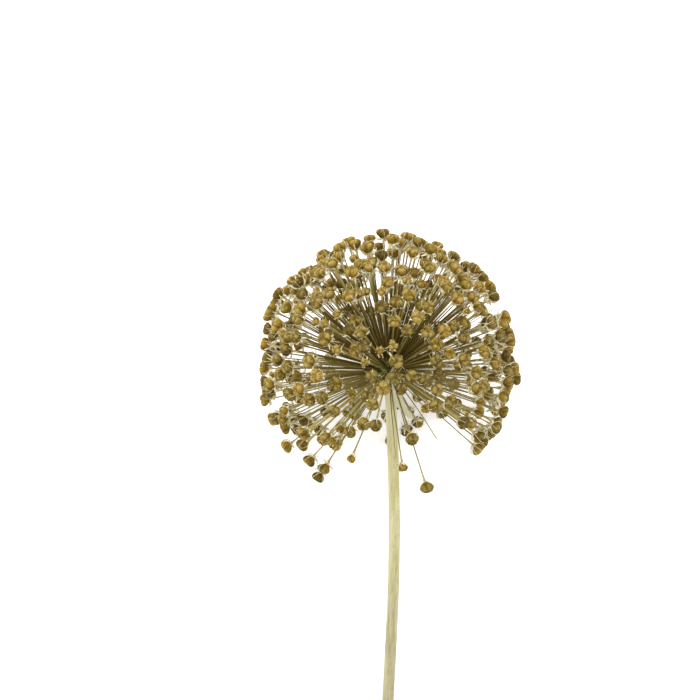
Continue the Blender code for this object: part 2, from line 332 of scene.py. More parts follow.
def umbel():
    """Every cluster as its rays, in order round its pad: (foot, inward, end, capsule size)."""
    rng = random.Random(SEED)
    pads = pad_directions()
    rays = settled_rays(pads, rng)
    clusters = []
    for number, pad_way in enumerate(pads):
        pad_way = UMBEL @ Vector(pad_way)
        side = pad_way.orthogonal().normalized()
        across = pad_way.cross(side)
        members = []
        for pad_number, way, reach, size in rays:
            if pad_number == number:
                way = UMBEL @ Vector(way)
                turn = math.atan2(way.dot(across), way.dot(side))
                members.append((turn, way, reach, size))
        members.sort(key=lambda member: member[0])
        step = math.tau / len(members)
        start = sum(member[0] - i * step for i, member in enumerate(members)) / len(members)
        grown = []
        for i, (_, way, reach, size) in enumerate(members):
            outward = Matrix.Rotation(start + i * step, 3, pad_way) @ side
            foot = HUB + pad_way * PAD_TOP + outward * RAY_RING
            grown.append((foot, -outward, ray_end(foot, -outward, way, reach, size), size))
        clusters.append(grown)
    return clusters


def scape_point(down):
    """Point on the stem's middle line, down from the hub."""
    sway = SCAPE_SWAY * math.sin(math.tau * max(down, 0.0) / SWAY_WAVE)
    return HUB - ALONG * down + ACROSS * sway


def scape_outline(dome_rings, stem_rings):
    """(distance down from the hub, radius) from the receptacle's dome to the cut end."""
    outline = []
    for i in range(1, dome_rings + 1):
        polar = NECK_POLAR * i / dome_rings
        outline.append((-RECEPTACLE_RADIUS * math.cos(polar), RECEPTACLE_RADIUS * math.sin(polar)))
    neck = outline[-1][0]
    for i in range(1, stem_rings + 1):
        part = i / stem_rings
        down = neck + (SCAPE_LENGTH - neck) * part**RING_CROWDING
        outline.append((down, SCAPE_RADIUS + (CUT_RADIUS - SCAPE_RADIUS) * part))
    return outline


def scape_axis(down):
    """The stem's direction there, towards its cut end."""
    return (scape_point(down + 0.001) - scape_point(down)).normalized()


def frame_shift():
    """From the layout to the CAD frame, by the lowest corner of the CAD model's stem."""
    points = []
    for down, radius in scape_outline(RECEPTACLE_RINGS, SCAPE_RINGS):
        points += ring(scape_point(down), scape_axis(down), ACROSS, (radius,), SCAPE_SIDES)
    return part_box("scape")[0] - Vector(map(min, *points))


# --- Nodes ---


def add_node(tree, kind, settings=None, inputs=None):
    """A node of that type, with its settings made first and then its sockets fed."""
    made = tree.nodes.new(kind)
    for name, value in (settings or {}).items():
        if name == "stops":
            ramp = made.color_ramp
            while len(ramp.elements) < len(value):
                ramp.elements.new(1.0)
            for element, (position, colour) in zip(ramp.elements, value):
                element.position = position
                element.color = (*colour, 1.0)
        else:
            setattr(made, name, value)
    for key, value in (inputs or {}).items():
        feed(tree, made.inputs[key], value)
    return made


def feed(tree, socket, value):
    """Link a value to the socket, or set the socket to it."""
    value = value.socket if isinstance(value, Amount) else value
    if isinstance(value, bpy.types.NodeSocket):
        tree.links.new(value, socket)
    elif isinstance(value, tuple) and socket.type == "RGBA":
        socket.default_value = (*value, 1.0)
    else:
        socket.default_value = value


class Amount:
    """A number that a finish works out at each point of a surface."""

    def __init__(self, tree, socket):
        self.tree, self.socket = tree, socket

    def with_(self, operation, first, second):
        made = add_node(
            self.tree, "ShaderNodeMath", {"operation": operation}, {0: first, 1: second}
        )
        return Amount(self.tree, made.outputs[0])

    def __add__(self, other):
        return self.with_("ADD", self, other)

    def __sub__(self, other):
        return self.with_("SUBTRACT", self, other)

    def __rsub__(self, other):
        return self.with_("SUBTRACT", other, self)

    def __mul__(self, other):
        return self.with_("MULTIPLY", self, other)

    __radd__ = __add__
    __rmul__ = __mul__


class Finish:
    """A material whose nodes are made by name."""

    def __init__(self, name, roughness, specular=0.3):
        self.material = bpy.data.materials.new(name)
        self.material.use_nodes = True
        self.tree = self.material.node_tree
        self.shader = self.tree.nodes["Principled BSDF"]
        self.shader.inputs["Specular IOR Level"].default_value = specular
        self.shader.inputs["Roughness"].default_value = roughness

    def node(self, kind, settings=None, inputs=None):
        return add_node(self.tree, "ShaderNode" + kind, settings, inputs)

    def place(self):
        """Where a point lies on the piece."""
        return self.node("TexCoord").outputs["Object"]

    def number(self, name):
        """A number that is kept at the mesh's points."""
        made = self.node("Attribute", {"attribute_name": name})
        return Amount(self.tree, made.outputs["Fac"])

    def vector(self, name):
        return self.node("Attribute", {"attribute_name": name}).outputs["Vector"]

    def scaled(self, vector, scale):
        return self.node("Mapping", inputs={"Vector": vector, "Scale": scale}).outputs[0]

    def noise(self, vector, scale, detail=2.0, roughness=0.5):
        inputs = {"Vector": vector, "Scale": scale, "Detail": detail, "Roughness": roughness}
        return Amount(self.tree, self.node("TexNoise", inputs=inputs).outputs["Fac"])

    def step(self, value, low, high):
        """From 0 where the value is at low to 1 where it is at high, smoothly."""
        made = self.node(
            "MapRange", {"interpolation_type": "SMOOTHSTEP"}, {0: value, 1: low, 2: high}
        )
        return Amount(self.tree, made.outputs[0])

    def ramp(self, value, stops):
        return self.node("ValToRGB", {"stops": stops}, {0: value}).outputs[0]

    def mix(self, share, first, second, blend="MIX"):
        """The first colour, with that share of the second over it."""
        settings = {"data_type": "RGBA", "blend_type": blend}
        made = self.node("Mix", settings, {0: share, 6: first, 7: second})
        return made.outputs[2]

    def colour(self, value):
        feed(self.tree, self.shader.inputs["Base Color"], value)

    def roughness(self, value):
        feed(self.tree, self.shader.inputs["Roughness"], value)

    def bump(self, height, distance, strength=1.0):
        inputs = {"Height": height, "Distance": distance, "Strength": strength}
        normal = self.node("Bump", inputs=inputs).outputs[0]
        feed(self.tree, self.shader.inputs["Normal"], normal)


# --- Finishes ---


def husk_finish():
    """Dry capsule wall: olive to golden or orange brown, paler on top from dust and painted light,
    with painted highlights on its lobe crests and painted shade in its grooves and top dimple.
    """
    look = Finish("husk", 0.6, 0.06)
    tone, suture, rise = look.number("tone"), look.number("suture"), look.number("rise")
    blotch = look.noise(look.place(), 260.0, 2.0)
    mottle = look.noise(look.place(), 800.0, 3.0, 0.55)
    grain = look.noise(look.place(), 4300.0, 3.0, 0.6)
    body = look.ramp(tone + (blotch - 0.5) * 0.64, (
        (0.00, (0.060, 0.041, 0.008)),
        (0.22, (0.098, 0.070, 0.010)),
        (0.45, (0.164, 0.112, 0.014)),
        (0.65, (0.258, 0.168, 0.021)),
        (0.82, (0.330, 0.190, 0.024)),
        (1.00, (0.330, 0.150, 0.018)),
    ))
    ripe = look.step(rise, 0.20, 0.36) * look.step(rise, 0.66, 0.46)
    body = look.mix(ripe * look.step(mottle, 0.40, 0.62) * 0.55, body, (0.300, 0.160, 0.014))
    dry = look.step(tone, -0.20, 0.50)
    # Paler patches on the capsule's top: partly dust, partly painted light on the top.
    dust_and_top_light = look.step(rise, 0.44, 0.86) * look.step(blotch + mottle, 0.86, 1.10) * dry
    body = look.mix(dust_and_top_light * 0.60, body, (0.440, 0.350, 0.130))
    deep = look.step(mottle, 0.47, 0.30)
    body = look.mix(deep * 0.60, body, (0.090, 0.054, 0.010))
    # Lobe crests lighter on the upper part: partly paler dry wall, partly painted highlight.
    crest_highlight = look.step(suture, 0.10, 0.60) * look.step(rise, 0.30, 0.62)
    crest_highlight *= look.step(mottle, 0.40, 0.60) * dry
    body = look.mix(crest_highlight * 0.24, body, (0.450, 0.335, 0.085))
    # Painted shade: darker in the grooves between the lobes.
    groove_shade = look.step(suture, 0.30, 0.0) * look.step(rise, 0.20, 0.44)
    body = look.mix(groove_shade * 0.75, body, (0.090, 0.052, 0.008))
    # Painted shade: darker in the dimple at the capsule's top.
    dimple_shade = look.step(rise, 0.80, 0.97)
    body = look.mix(dimple_shade * 0.75, body, (0.110, 0.060, 0.010))
    foot = look.step(rise, 0.20, 0.0)
    body = look.mix(foot * 0.75, body, (0.680, 0.600, 0.360))
    speck = look.step(grain, 0.60, 0.74)
    look.colour(look.mix(speck * dry * 0.16, body, (0.560, 0.440, 0.190)))
    look.roughness(0.48 + mottle * 0.26)
    ridge = look.step(suture, 0.02, 0.30)
    look.bump(ridge * 0.9 + mottle * 0.35 + grain * 0.08, 0.00030, 0.8)
    return look.material


def ray_finish():
    """Dry pedicel: pale green at its foot, olive brown, then straw, and cream at its capsule, with
    painted shade on the darker-toned rays and partly painted light on the palest.
    """
    look = Finish("dry_stalk", 0.8, 0.0)
    tone, along = look.number("tone"), look.number("along")
    mottle = look.noise(look.place(), 700.0, 3.0)
    body = look.ramp(along + (mottle - 0.5) * 0.08, (
        (0.00, (0.860, 0.950, 0.480)),
        (0.045, (0.760, 0.790, 0.340)),
        (0.08, (0.112, 0.080, 0.014)),
        (0.42, (0.124, 0.088, 0.015)),
        (0.78, (0.200, 0.150, 0.034)),
        (0.90, (0.360, 0.285, 0.110)),
        (0.96, (0.720, 0.630, 0.370)),
    ))
    # Painted shade, partly the rays' own darker tone: lower-toned rays are darkened as shaded
    # ones.
    painted_shade_share = look.step(tone, 0.50, 0.0) * look.step(along, 0.96, 0.86)
    with_painted_shade = look.mix(painted_shade_share * 0.75, body, (0.060, 0.038, 0.010))
    grown = look.step(along, 0.03, 0.16)
    fair = look.mix(look.step(tone, 0.38, 0.72) * grown * 0.75, with_painted_shade, (0.290, 0.232, 0.078))
    # Palest rays: partly their own paler tone, partly painted light.
    pale = look.step(tone, 0.80, 0.95) * grown
    look.colour(look.mix(pale * 0.75, fair, (0.500, 0.420, 0.150)))
    look.bump(look.noise(look.place(), 2600.0, 2.0), 0.00008, 0.6)
    return look.material


def tepal_finish():
    """Withered tepals and filaments: thin, cream, a little browner in patches."""
    look = Finish("withered_tepal", 0.75, 0.05)
    mottle = look.noise(look.place(), 900.0, 3.0)
    look.colour(look.ramp(mottle + (look.number("tone") - 0.5) * 0.4, (
        (0.16, (0.560, 0.440, 0.200)),
        (0.36, (0.880, 0.800, 0.520)),
        (0.70, (0.960, 0.925, 0.690)),
    )))
    look.bump(look.noise(look.place(), 3000.0, 2.0), 0.00010, 0.6)
    return look.material


def straw_finish():
    """Dry scape: pale straw with fine lengthwise fibres, greener under the head, with painted
    light on its upper part below the head, and darker and greyer towards the cut end.
    """
    look = Finish("straw", 0.6, 0.2)
    fibre = look.vector("fibre")
    fine = look.noise(look.scaled(fibre, (1.0, 1.0, 0.030)), 4200.0, 3.0, 0.6)
    broad = look.noise(look.scaled(fibre, (1.0, 1.0, 0.080)), 700.0, 3.0, 0.55)
    stain = look.noise(look.scaled(fibre, (1.0, 1.0, 0.25)), 420.0, 4.0, 0.6)
    scar = look.noise(look.scaled(fibre, (1.0, 1.0, 0.22)), 1500.0, 3.0, 0.55)
    along = look.number("along")
    body = look.ramp(broad * 0.6 + fine * 0.4, (
        (0.30, (0.380, 0.335, 0.135)),
        (0.44, (0.510, 0.470, 0.220)),
        (0.56, (0.610, 0.580, 0.325)),
        (0.70, (0.760, 0.745, 0.490)),
    ))
    body = look.mix(look.step(stain, 0.50, 0.70) * 0.55, body, (0.440, 0.375, 0.175))
    body = look.mix(look.step(scar, 0.59, 0.68) * 0.60, body, (0.300, 0.255, 0.160))
    # Darker and greyer towards the cut end.
    body = look.mix(look.step(along, 0.24, 0.60), body, (0.710, 0.690, 0.755), "MULTIPLY")
    # Painted light: the upper stem, in the head's shadow, is lightened.
    body = look.mix(look.step(along, 0.20, 0.04) * 0.45, body, (0.860, 0.845, 0.600))
    look.colour(look.mix(look.step(along, 0.022, 0.0) * 0.6, body, (0.560, 0.640, 0.360)))
    look.roughness(0.48 + fine * 0.2)
    look.bump(fine * 0.5 + broad, 0.00014, 0.6)
    look.shader.inputs["Sheen Weight"].default_value = 0.35
    look.shader.inputs["Sheen Roughness"].default_value = 0.4
    return look.material


def pith_finish():
    """The cut face: spongy cream pith inside a firmer, browner rim."""
    look = Finish("pith", 0.8)
    pores = look.noise(look.place(), 3800.0, 3.0, 0.6)
    body = look.ramp(pores, (
        (0.32, (0.420, 0.330, 0.170)),
        (0.52, (0.720, 0.640, 0.430)),
        (0.70, (0.840, 0.780, 0.600)),
    ))
    rim = look.step(look.number("rim"), 0.55, 1.0)
    look.colour(look.mix(rim * 0.6, body, (0.420, 0.330, 0.150)))
    look.bump(pores, 0.0003, 0.9)
    return look.material


def papery_finish():
    """Spathe: thin cream paper with lengthwise veins and browner, torn edges."""
    look = Finish("papery", 0.65)
    fibre = look.vector("fibre")
    vein = look.noise(look.scaled(fibre, (1.0, 0.06, 1.0)), 1900.0, 3.0, 0.6)
    patch = look.noise(look.scaled(fibre, (1.0, 0.4, 1.0)), 380.0, 3.0)
    body = look.ramp(vein * 0.65 + patch * 0.35, (
        (0.34, (0.760, 0.700, 0.420)),
        (0.48, (0.900, 0.880, 0.640)),
        (0.64, (0.960, 0.955, 0.790)),
    ))
    edge = look.step(look.number("rim"), 0.80, 1.0)
    look.colour(look.mix(edge * 0.25, body, (0.620, 0.540, 0.300)))
    look.bump(vein + patch * 0.4, 0.00022, 0.8)
    return look.material


# --- Shapes ---

# Capsule's outline at full size: (height, radius at a lobe, radius at a groove).
CAPSULE_OUTLINE = (
    (0.00000, 0.00065, 0.00062),
    (0.00080, 0.00186, 0.00166),
    (0.00200, 0.00308, 0.00266),
    (0.00330, 0.00354, 0.00298),
    (0.00445, 0.00305, 0.00246),
    (0.00500, 0.00175, 0.00128),
)
CAPSULE_CENTRE = 0.00440
# Once round a lobe: (share of a third of a turn, share of the way from groove to lobe).
LOBE_FORM = ((0.12, 1.0), (0.36, 0.78), (0.50, 0.0), (0.64, 0.78), (0.88, 1.0))
CAPSULE_SIDES = 3 * len(LOBE_FORM)
# How far the rim dips at a groove, how lobes swell and capsules lean, how uneven walls are, and
# a withered wall's girth at a groove, with what a lobe adds to it.
NOTCH = 0.07
LOBE_SWELL = (0.92, 1.03)
CAPSULE_LEAN = 0.0003
UNEVEN = 0.035
WITHERED_UNEVEN = 0.095
WITHERED_WALL = (0.80, 0.16)
RIM_UNEVEN = 0.00012
CAPSULE_SHAPES = 7
WITHERED_SHAPES = 2


def band(low, high, count):
    """Faces between two closed rings of points, which start at these numbers."""
    faces = []
    for k in range(count):
        right = (k + 1) % count
        faces.append((low + k, low + right, high + right, high + k))
    return faces


def keep(mesh, kind, numbers, vectors):
    """Keep numbers of a kind, and vectors, at the mesh's points."""
    for key, values in numbers.items():
        mesh.attributes.new(key, kind, "POINT").data.foreach_set("value", values)
    for key, values in vectors.items():
        flat = np.array(values, np.float32).ravel()
        mesh.attributes.new(key, "FLOAT_VECTOR", "POINT").data.foreach_set("vector", flat)


def shown(name, data):
    """An object of the data, in the scene."""
    made = bpy.data.objects.new(name, data)
    bpy.context.scene.collection.objects.link(made)
    return made


def filled(name, places, faces, finishes, numbers=None, vectors=None):
    """A smooth mesh object, with numbers and vectors kept at its points."""
    mesh = bpy.data.meshes.new(name)
    mesh.from_pydata([tuple(place) for place in places], [], faces)
    for finish in finishes:
        mesh.materials.append(finish)
    keep(mesh, "FLOAT", numbers or {}, vectors or {})
    mesh.shade_smooth()
    return shown(name, mesh)


def capsule_shape(number, withered):
    """One form of the three-lobed capsule, its lobes and walls a little uneven."""
    rng = random.Random(number)
    places, suture, rise = [], [], []
    rows = len(CAPSULE_OUTLINE)
    swell = [rng.uniform(*LOBE_SWELL) for _ in range(3)]
    lean = Vector((rng.uniform(-1.0, 1.0), rng.uniform(-1.0, 1.0), 0.0)) * CAPSULE_LEAN
    for i, (height, lobe, groove) in enumerate(CAPSULE_OUTLINE):
        share = i / rows
        for k in range(CAPSULE_SIDES):
            third, step = divmod(k, len(LOBE_FORM))
            round_lobe, bulge = LOBE_FORM[step]
            turn = math.tau / 3 * (third + round_lobe)
            full = groove + (lobe - groove) * bulge
            full *= 1.0 + (swell[(third + (step > 2)) % 3] - 1.0) * share
            high = height * (1.0 - NOTCH * (1.0 - bulge) * share**2)
            if withered:
                full *= WITHERED_WALL[0] + WITHERED_WALL[1] * bulge
            rough = WITHERED_UNEVEN if withered else UNEVEN
            full *= 1.0 + rough * noise.noise(Vector((k * 1.7, i * 1.3, number * 7.1)))
            high += RIM_UNEVEN * noise.noise(Vector((k * 0.9, i * 0.7, number * 3.3 + 50)))
            if i == 0:
                high = 0.0
            place = Vector((math.cos(turn) * full, math.sin(turn) * full, high))
            places.append(place + lean * share)
            suture.append(abs(1.0 - 2.0 * round_lobe))
            rise.append(share)
    places.append(Vector((0.0, 0.0, CAPSULE_CENTRE)) + lean)
    suture.append(0.5)
    rise.append(1.0)
    faces = [tuple(reversed(range(CAPSULE_SIDES)))]
    for i in range(rows - 1):
        faces += band(i * CAPSULE_SIDES, (i + 1) * CAPSULE_SIDES, CAPSULE_SIDES)
    last = (rows - 1) * CAPSULE_SIDES
    for k in range(CAPSULE_SIDES):
        faces.append((last + k, last + (k + 1) % CAPSULE_SIDES, len(places) - 1))
    name = f"capsule_shape_{number}"
    return filled(name, places, faces, [], {"suture": suture, "rise": rise})


# What a point of a cluster's skeleton grows into.
STALK, STRAND, CAPSULE = 0, 1, 2


def growth_tree():
    """Grows a cluster from its skeleton: a stalk along every ray, a strand along every
    tepal and filament, and one of the capsule shapes at every place."""
    tree = bpy.data.node_groups.new("grown_cluster", "GeometryNodeTree")
    names = (
        ("Skeleton", "Geometry"), ("Capsule shapes", "Collection"), ("Stalk sides", "Int"),
        ("Strand sides", "Int"), ("Strand flatness", "Float"), ("Stalk finish", "Material"),
        ("Strand finish", "Material"), ("Capsule finish", "Material"),
    )
    for name, kind in names:
        tree.interface.new_socket(name, in_out="INPUT", socket_type="NodeSocket" + kind)
    tree.interface.new_socket("Cluster", in_out="OUTPUT", socket_type="NodeSocketGeometry")
    given = tree.nodes.new("NodeGroupInput").outputs

    def node(kind, settings=None, inputs=None):
        return add_node(tree, kind, settings, inputs).outputs[0]

    def named(name, kind="FLOAT"):
        return node("GeometryNodeInputNamedAttribute", {"data_type": kind}, {0: name})

    def of_kind(number):
        chosen = node(
            "FunctionNodeCompare", {"data_type": "INT", "operation": "EQUAL"},
            {2: named("kind", "INT"), 3: number},
        )
        return node("GeometryNodeSeparateGeometry", {}, {0: given["Skeleton"], 1: chosen})

    def swept(number, sides, flatness, finish):
        lines = node("GeometryNodeMeshToCurve", {}, {0: of_kind(number)})
        circle = node("GeometryNodeCurvePrimitiveCircle", {}, {0: sides, 4: 1.0})
        scale = node("ShaderNodeCombineXYZ", {}, {0: 1.0, 1: flatness, 2: 1.0})
        profile = node("GeometryNodeTransform", {}, {0: circle, 3: scale})
        tube = node(
            "GeometryNodeCurveToMesh", {}, {0: lines, 1: profile, 2: named("thick"), 3: True}
        )
        smooth = node("GeometryNodeSetShadeSmooth", {}, {0: tube})
        real = node("GeometryNodeRealizeInstances", {}, {0: smooth})
        return node("GeometryNodeSetMaterial", {}, {0: real, 2: finish})

    shapes = node(
        "GeometryNodeCollectionInfo", {}, {0: given["Capsule shapes"], 1: True, 2: True}
    )
    turned = node(
        "FunctionNodeAxesToRotation", {"primary_axis": "Z", "secondary_axis": "X"},
        {0: named("axis", "FLOAT_VECTOR"), 1: named("lobe", "FLOAT_VECTOR")},
    )
    placed = node("GeometryNodeInstanceOnPoints", {}, {
        0: of_kind(CAPSULE), 2: shapes, 3: True, 4: named("shape", "INT"), 5: turned,
        6: named("size"),
    })
    real = node("GeometryNodeRealizeInstances", {}, {0: placed})
    capsules = node("GeometryNodeSetMaterial", {}, {0: real, 2: given["Capsule finish"]})
    whole = add_node(tree, "GeometryNodeJoinGeometry")
    stalks = swept(STALK, given["Stalk sides"], 1.0, given["Stalk finish"])
    strands = swept(
        STRAND, given["Strand sides"], given["Strand flatness"], given["Strand finish"]
    )
    for grown in (capsules, strands, stalks):
        tree.links.new(grown, whole.inputs[0])
    add_node(tree, "NodeGroupOutput", {}, {0: whole.outputs[0]})
    return tree


class Skeleton:
    """The lines and places that a cluster grows along, with what each point's growth reads."""

    NUMBERS = ("thick", "along", "tone", "size")
    VECTORS = ("axis", "lobe")

    def __init__(self):
        self.places, self.edges, self.kinds, self.shapes = [], [], [], []
        self.numbers = {name: [] for name in self.NUMBERS}
        self.vectors = {name: [] for name in self.VECTORS}

    def point(self, kind, place, shape=0, thick=0.0, along=0.0, tone=0.5, size=1.0,
              axis=(0.0, 0.0, 1.0), lobe=(1.0, 0.0, 0.0)):
        self.places.append(tuple(place))
        self.kinds.append(kind)
        self.shapes.append(shape)
        for name, value in zip(self.NUMBERS, (thick, along, tone, size)):
            self.numbers[name].append(value)
        for name, value in zip(self.VECTORS, (axis, lobe)):
            self.vectors[name].append(tuple(value))

    def line(self, kind, points, thicks, tone, shares=None):
        """Points joined in a line, each with its half thickness and its share of the way."""
        first = len(self.places)
        shares = shares or [0.0] * len(points)
        for place, thick, share in zip(points, thicks, shares):
            self.point(kind, place, thick=thick, along=share, tone=tone)
        self.edges += [(first + i, first + i + 1) for i in range(len(points) - 1)]

    def made(self, name):
        """The skeleton as an object of bare points and edges."""
        mesh = bpy.data.meshes.new(name)
        mesh.from_pydata(self.places, self.edges, [])
        keep(mesh, "INT", {"kind": self.kinds, "shape": self.shapes}, {})
        keep(mesh, "FLOAT", self.numbers, self.vectors)
        return shown(name, mesh)


STALK_FOOT = 0.0043
STALK_BOW = 0.0006
STALK_RADIUS = (0.00026, 0.00036)
STOUT_RADIUS = (0.00042, 0.00056)
STOUT_TONE = (0.85, 1.0)
# Rays that point less than this far along the umbel are fairer, the more so the lower.
FAIR_BELOW = 0.75
# A ray that has lost its capsule: how wide its end may be, and how much it tapers.
BARE_GIRTH = 1.6
BARE_TAPER = 0.6
# Places along a stalk as shares of its length, and its girth there beside its usual one.
STALK_GIRTHS = (
    (0.0, 1.50), (0.06, 1.20), (0.15, 1.0), (0.28, 1.0), (0.42, 1.0), (0.56, 0.96), (0.70, 0.95),
    (0.82, 0.98), (0.90, 1.10), (0.945, 1.45), (0.978, 2.2), (1.0, 3.2),
)


def add_stalk(skeleton, end, size, stout_share, rng):
    """A ray from the receptacle to its capsule, a little bowed, widening into a pale funnel.
    Stout rays are paler."""
    way = (end - HUB).normalized()
    start = HUB + way * STALK_FOOT
    side = Matrix.Rotation(rng.uniform(0.0, math.tau), 3, way) @ way.orthogonal().normalized()
    bow = rng.uniform(0.1, 1.0) * STALK_BOW
    ripple = rng.uniform(-0.25, 0.25) * STALK_BOW
    lower = min(max(FAIR_BELOW - way.dot(ALONG), 0.0), 1.0)
    usual = rng.uniform(*STALK_RADIUS)
    tone = rng.uniform(0.55 * lower, 0.60 + 0.22 * lower)
    if size and rng.random() < stout_share:
        usual = rng.uniform(*STOUT_RADIUS)
        tone = rng.uniform(*STOUT_TONE)
    points, thicks = [], []
    for part, girth in STALK_GIRTHS:
        sideways = bow * math.sin(math.pi * part) + ripple * math.sin(math.tau * 2.0 * part)
        points.append(start.lerp(end, part) + side * sideways)
        if not size:
            girth = min(girth, BARE_GIRTH) * (1.0 - BARE_TAPER * part**3)
        thicks.append(usual * girth)
    skeleton.line(STALK, points, thicks, tone, [part for part, _ in STALK_GIRTHS])


def wall_radius(height):
    """The capsule's widest radius at a height over its foot."""
    for (low, near, _), (high, far, _) in zip(CAPSULE_OUTLINE, CAPSULE_OUTLINE[1:]):
        if height < high:
            return near + (far - near) * (height - low) / (high - low)
    return CAPSULE_OUTLINE[-1][1]


# How a strand leaves the capsule's foot: share of them, first angle over the flat and bend in
# degrees, and length.
TEPAL_WAYS = (
    (0.30, (-35.0, 10.0), (-100.0, -20.0), (0.0022, 0.0038)),
    (0.52, (-20.0, 20.0), (60.0, 130.0), (0.0036, 0.0054)),
    (0.18, (-40.0, 40.0), (-30.0, 40.0), (0.0026, 0.0042)),
)
FILAMENT_WAYS = (
    (0.70, (5.0, 40.0), (40.0, 125.0), (0.0050, 0.0080)),
    (0.30, (-30.0, 20.0), (-60.0, 30.0), (0.0034, 0.0058)),
)


# Where a strand starts (distance out, height), how near the axis it may come, how far it stays
# off the capsule's wall, and how much it twists.
STRAND_START = (0.00055, 0.00002)
STRAND_NEAREST = 0.00045
OFF_WALL = 0.00018
STRAND_TWIST = 0.55


def strand_path(ways, turn, steps, rng):
    """(turn, distance out, height) of points along a curled strand, outside the capsule."""
    chance = rng.random()
    for share, first, bend, length in ways:
        if chance < share:
            break
        chance -= share
    angle = math.radians(rng.uniform(*first))
    bend = math.radians(rng.uniform(*bend)) / steps
    stride = rng.uniform(*length) / steps
    twist = rng.uniform(-STRAND_TWIST, STRAND_TWIST) / steps
    out, high = STRAND_START
    path = [(turn, out, high)]
    for _ in range(steps):
        out += stride * math.cos(angle)
        high += stride * math.sin(angle)
        if 0.0 < high < CAPSULE_OUTLINE[-1][0]:
            out = max(out, wall_radius(high) + OFF_WALL)
        out = max(out, STRAND_NEAREST)
        angle += bend
        turn += twist
        path.append((turn, out, high))
    return path


# An allium's flower has six tepals and six filaments. A few have dropped.
FLOWER_PARTS = 6
TEPALS_LOST = 0.10
TEPAL_GIRTHS = (0.7, 1.0, 1.0, 0.85, 0.6, 0.15)
TEPAL_WIDTH = (0.00048, 0.00076)
FILAMENTS_LOST = 0.12
FILAMENT_STEPS = 7
FILAMENT_RADIUS = 0.00019
STYLES_LEFT = 0.6
STYLE_SUNK = 0.0002
STYLE_LEAN = (0.0, 0.0005)
STYLE_LENGTH = (0.0004, 0.0011)
STYLE_TONE = 0.3
# Places along a style's stub as shares of its length, and its radius there.
STYLE_RADII = ((0.0, 0.00016), (0.5, 0.00013), (1.0, 0.00008))


def add_strands(skeleton, end, axis, lobe, size, rng):
    """The withered flower round a capsule's foot: curled tepals and thread-like filaments."""
    across = axis.cross(lobe)

    def at(turn, out, high):
        way = lobe * math.cos(turn) + across * math.sin(turn)
        return end + (way * out + axis * high) * size

    for k in range(FLOWER_PARTS):
        if rng.random() < TEPALS_LOST:
            continue
        turn = math.tau * (k + rng.uniform(-0.3, 0.3)) / FLOWER_PARTS
        path = strand_path(TEPAL_WAYS, turn, len(TEPAL_GIRTHS) - 1, rng)
        wide = rng.uniform(*TEPAL_WIDTH)
        thicks = [wide * share for share in TEPAL_GIRTHS]
        skeleton.line(STRAND, [at(*step) for step in path], thicks, rng.random())
    for k in range(FLOWER_PARTS):
        if rng.random() < FILAMENTS_LOST:
            continue
        turn = math.tau * (k + 0.5 + rng.uniform(-0.35, 0.35)) / FLOWER_PARTS
        path = strand_path(FILAMENT_WAYS, turn, FILAMENT_STEPS, rng)
        thicks = [FILAMENT_RADIUS * (1.0 - 0.5 * i / FILAMENT_STEPS) for i in range(len(path))]
        skeleton.line(STRAND, [at(*step) for step in path], thicks, rng.random())
    if rng.random() < STYLES_LEFT:
        turn = rng.uniform(0.0, math.tau)
        lean = rng.uniform(*STYLE_LEAN)
        tall = rng.uniform(*STYLE_LENGTH)
        points, thicks = [], []
        for part, radius in STYLE_RADII:
            points.append(at(turn, lean * part, CAPSULE_CENTRE - STYLE_SUNK + tall * part))
            thicks.append(radius)
        skeleton.line(STRAND, points, thicks, STYLE_TONE)


WITHERED_BELOW = 0.8
CAPSULE_TWIST = 0.15
# Tones from olive at 0 to orange brown at 1: the usual ones, the share and tone of orange ones,
# and the share of olive ones, which falls along the umbel.
USUAL_TONE = (0.56, 0.10)
ORANGE_SHARE = 0.07
ORANGE_WITHERED_SHARE = 0.70
ORANGE_TONE = (0.64, 0.82)
OLIVE_SHARE = 0.38
OLIVE_FALL = 0.24
OLIVE_TONE = (0.12, 0.40)


def add_capsule(skeleton, foot, inward, end, size, rng):
    """One of the capsule shapes at the end of its ray, a lobe turned inwards, and its strands."""
    axis = (end - foot).normalized()
    lobe = (inward - axis * inward.dot(axis)).normalized()
    lobe = Matrix.Rotation(rng.uniform(-CAPSULE_TWIST, CAPSULE_TWIST), 3, axis) @ lobe
    along = (end - HUB).normalized().dot(ALONG)
    withered = size < WITHERED_BELOW
    tone = rng.gauss(*USUAL_TONE) + 0.04 * along
    if rng.random() < (ORANGE_WITHERED_SHARE if withered else ORANGE_SHARE):
        tone = rng.uniform(*ORANGE_TONE)
    elif rng.random() < OLIVE_SHARE - OLIVE_FALL * along:
        tone = rng.uniform(*OLIVE_TONE)
    if withered:
        shape = CAPSULE_SHAPES + rng.randrange(WITHERED_SHAPES)
    else:
        shape = rng.randrange(CAPSULE_SHAPES)
    skeleton.point(CAPSULE, end, shape=shape, tone=tone, size=size, axis=axis, lobe=lobe)
    add_strands(skeleton, end, axis, lobe, size, rng)


def settle(mesh, shift):
    """Move a mesh from the layout to the CAD frame, and keep it inside the CAD model's box."""
    places = np.empty(len(mesh.vertices) * 3, np.float32)
    mesh.vertices.foreach_get("co", places)
    places = places.reshape(-1, 3) + np.array(shift)
    inside = np.clip(places, np.array(CAD_BOX[0]), np.array(CAD_BOX[1]))
    mesh.vertices.foreach_set("co", inside.astype(np.float32).ravel())
    mesh.update()


STALK_SIDES = 6
STRAND_SIDES = 3
STRAND_FLATNESS = 0.55
CLUSTER_SEED = 1000
# Share of stout rays, and their share in the low clusters after the first.
STOUT_SHARE = 0.06
LOW_STOUT_SHARE = 0.45


